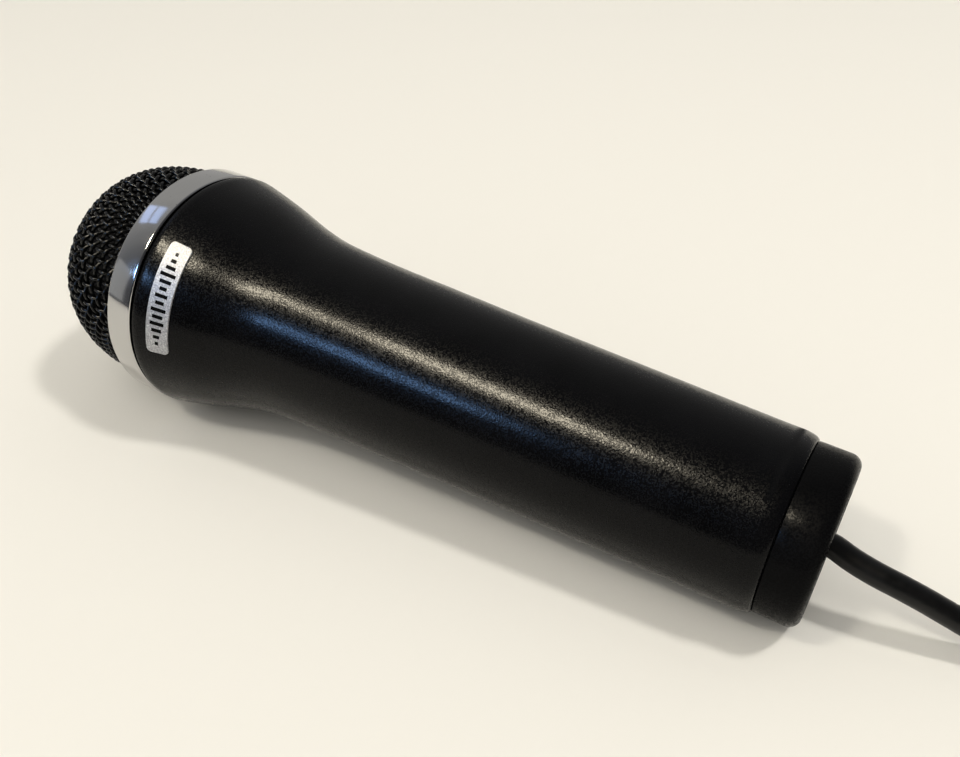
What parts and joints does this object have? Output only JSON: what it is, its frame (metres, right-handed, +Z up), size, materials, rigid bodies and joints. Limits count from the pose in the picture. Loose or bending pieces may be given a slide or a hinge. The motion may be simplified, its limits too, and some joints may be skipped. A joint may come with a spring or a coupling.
{
  "type": "karaoke microphone",
  "caption": "Handheld corded karaoke microphone with a wire-mesh dome, chrome ring, flared black handle and a USB cable folded in a tied hank.",
  "frame": {"origin": "on the surface it lies on, under the middle of the microphone's own box (the cable left out)", "axes": "+X along the microphone out of its grille, +Z up from the surface it lies on, +Y to its side; its own axis is tilted 4.1 degrees up towards +X"},
  "size_m": [0.3676, 0.0604, 0.0516],
  "materials": {
    "black_wire": "black-painted woven wire with small glints",
    "chrome": "bright polished chrome plate with a few specks",
    "black_body": "satin black moulded plastic with a very fine grain",
    "black_trim": "satin black moulded plastic",
    "silver_label": "matt silver foil with plain printed level bars",
    "foam": "open-cell dark grey foam",
    "rubber": "matt black rubber",
    "cable_jacket": "satin black PVC jacket",
    "aluminium": "satin drawn aluminium",
    "steel": "bright nickel-plated steel",
    "felt": "black dust felt",
    "grey_plastic": "matt dark grey moulded plastic",
    "board_green": "green solder mask",
    "chip_black": "matt epoxy",
    "white_plastic": "off-white nylon",
    "lead_red": "red PVC insulation",
    "lead_black": "black PVC insulation",
    "tie_fabric": "black hook-and-loop strap"
  },
  "bodies": {
    "handle": {"handle_shell": "black_body", "label_plate": "silver_label", "capsule_carrier": "grey_plastic", "capsule_boot": "rubber", "microphone_capsule": "aluminium", "capsule_felt": "felt", "capsule_lead_red": "lead_red", "capsule_lead_black": "lead_black", "board_tray": "grey_plastic", "circuit_board": "board_green", "usb_audio_chip": "chip_black", "clock_crystal": "aluminium", "capacitor_front": "aluminium", "capacitor_rear": "aluminium", "cable_connector": "white_plastic", "board_screw_front": "steel", "board_screw_rear": "steel", "tail_cap": "black_trim", "end_disc": "black_trim", "cable_grommet": "rubber", "inner_cable": "cable_jacket", "cable_stop": "white_plastic", "cable_run": "cable_jacket", "cable_hank": "cable_jacket", "cable_end": "cable_jacket", "hank_tie": "tie_fabric", "plug_body": "black_trim", "plug_boot": "black_trim", "plug_shell": "steel", "plug_tongue": "white_plastic"},
    "seal": {"neck_seal": "rubber"},
    "head": {"grille_dome": "black_wire", "chrome_ring": "chrome", "foam_liner": "foam", "head_collar": "grey_plastic"}
  },
  "joints": [
    {"name": "head_lift", "type": "slide", "parent": "handle", "child": "seal", "axis": [0.9974, 0, 0.0716], "range_m": [0, 0.006]},
    {"name": "head_turn", "type": "hinge", "parent": "seal", "child": "head", "pos_m": [0.05277, 0, 0.02564], "axis": [0.9974, 0, 0.0716], "range_deg": [0, 540]}
  ],
  "couplings": [
    {"joint": "head_lift", "follows": "head_turn", "m_per_rad": 0.00063662}
  ]
}
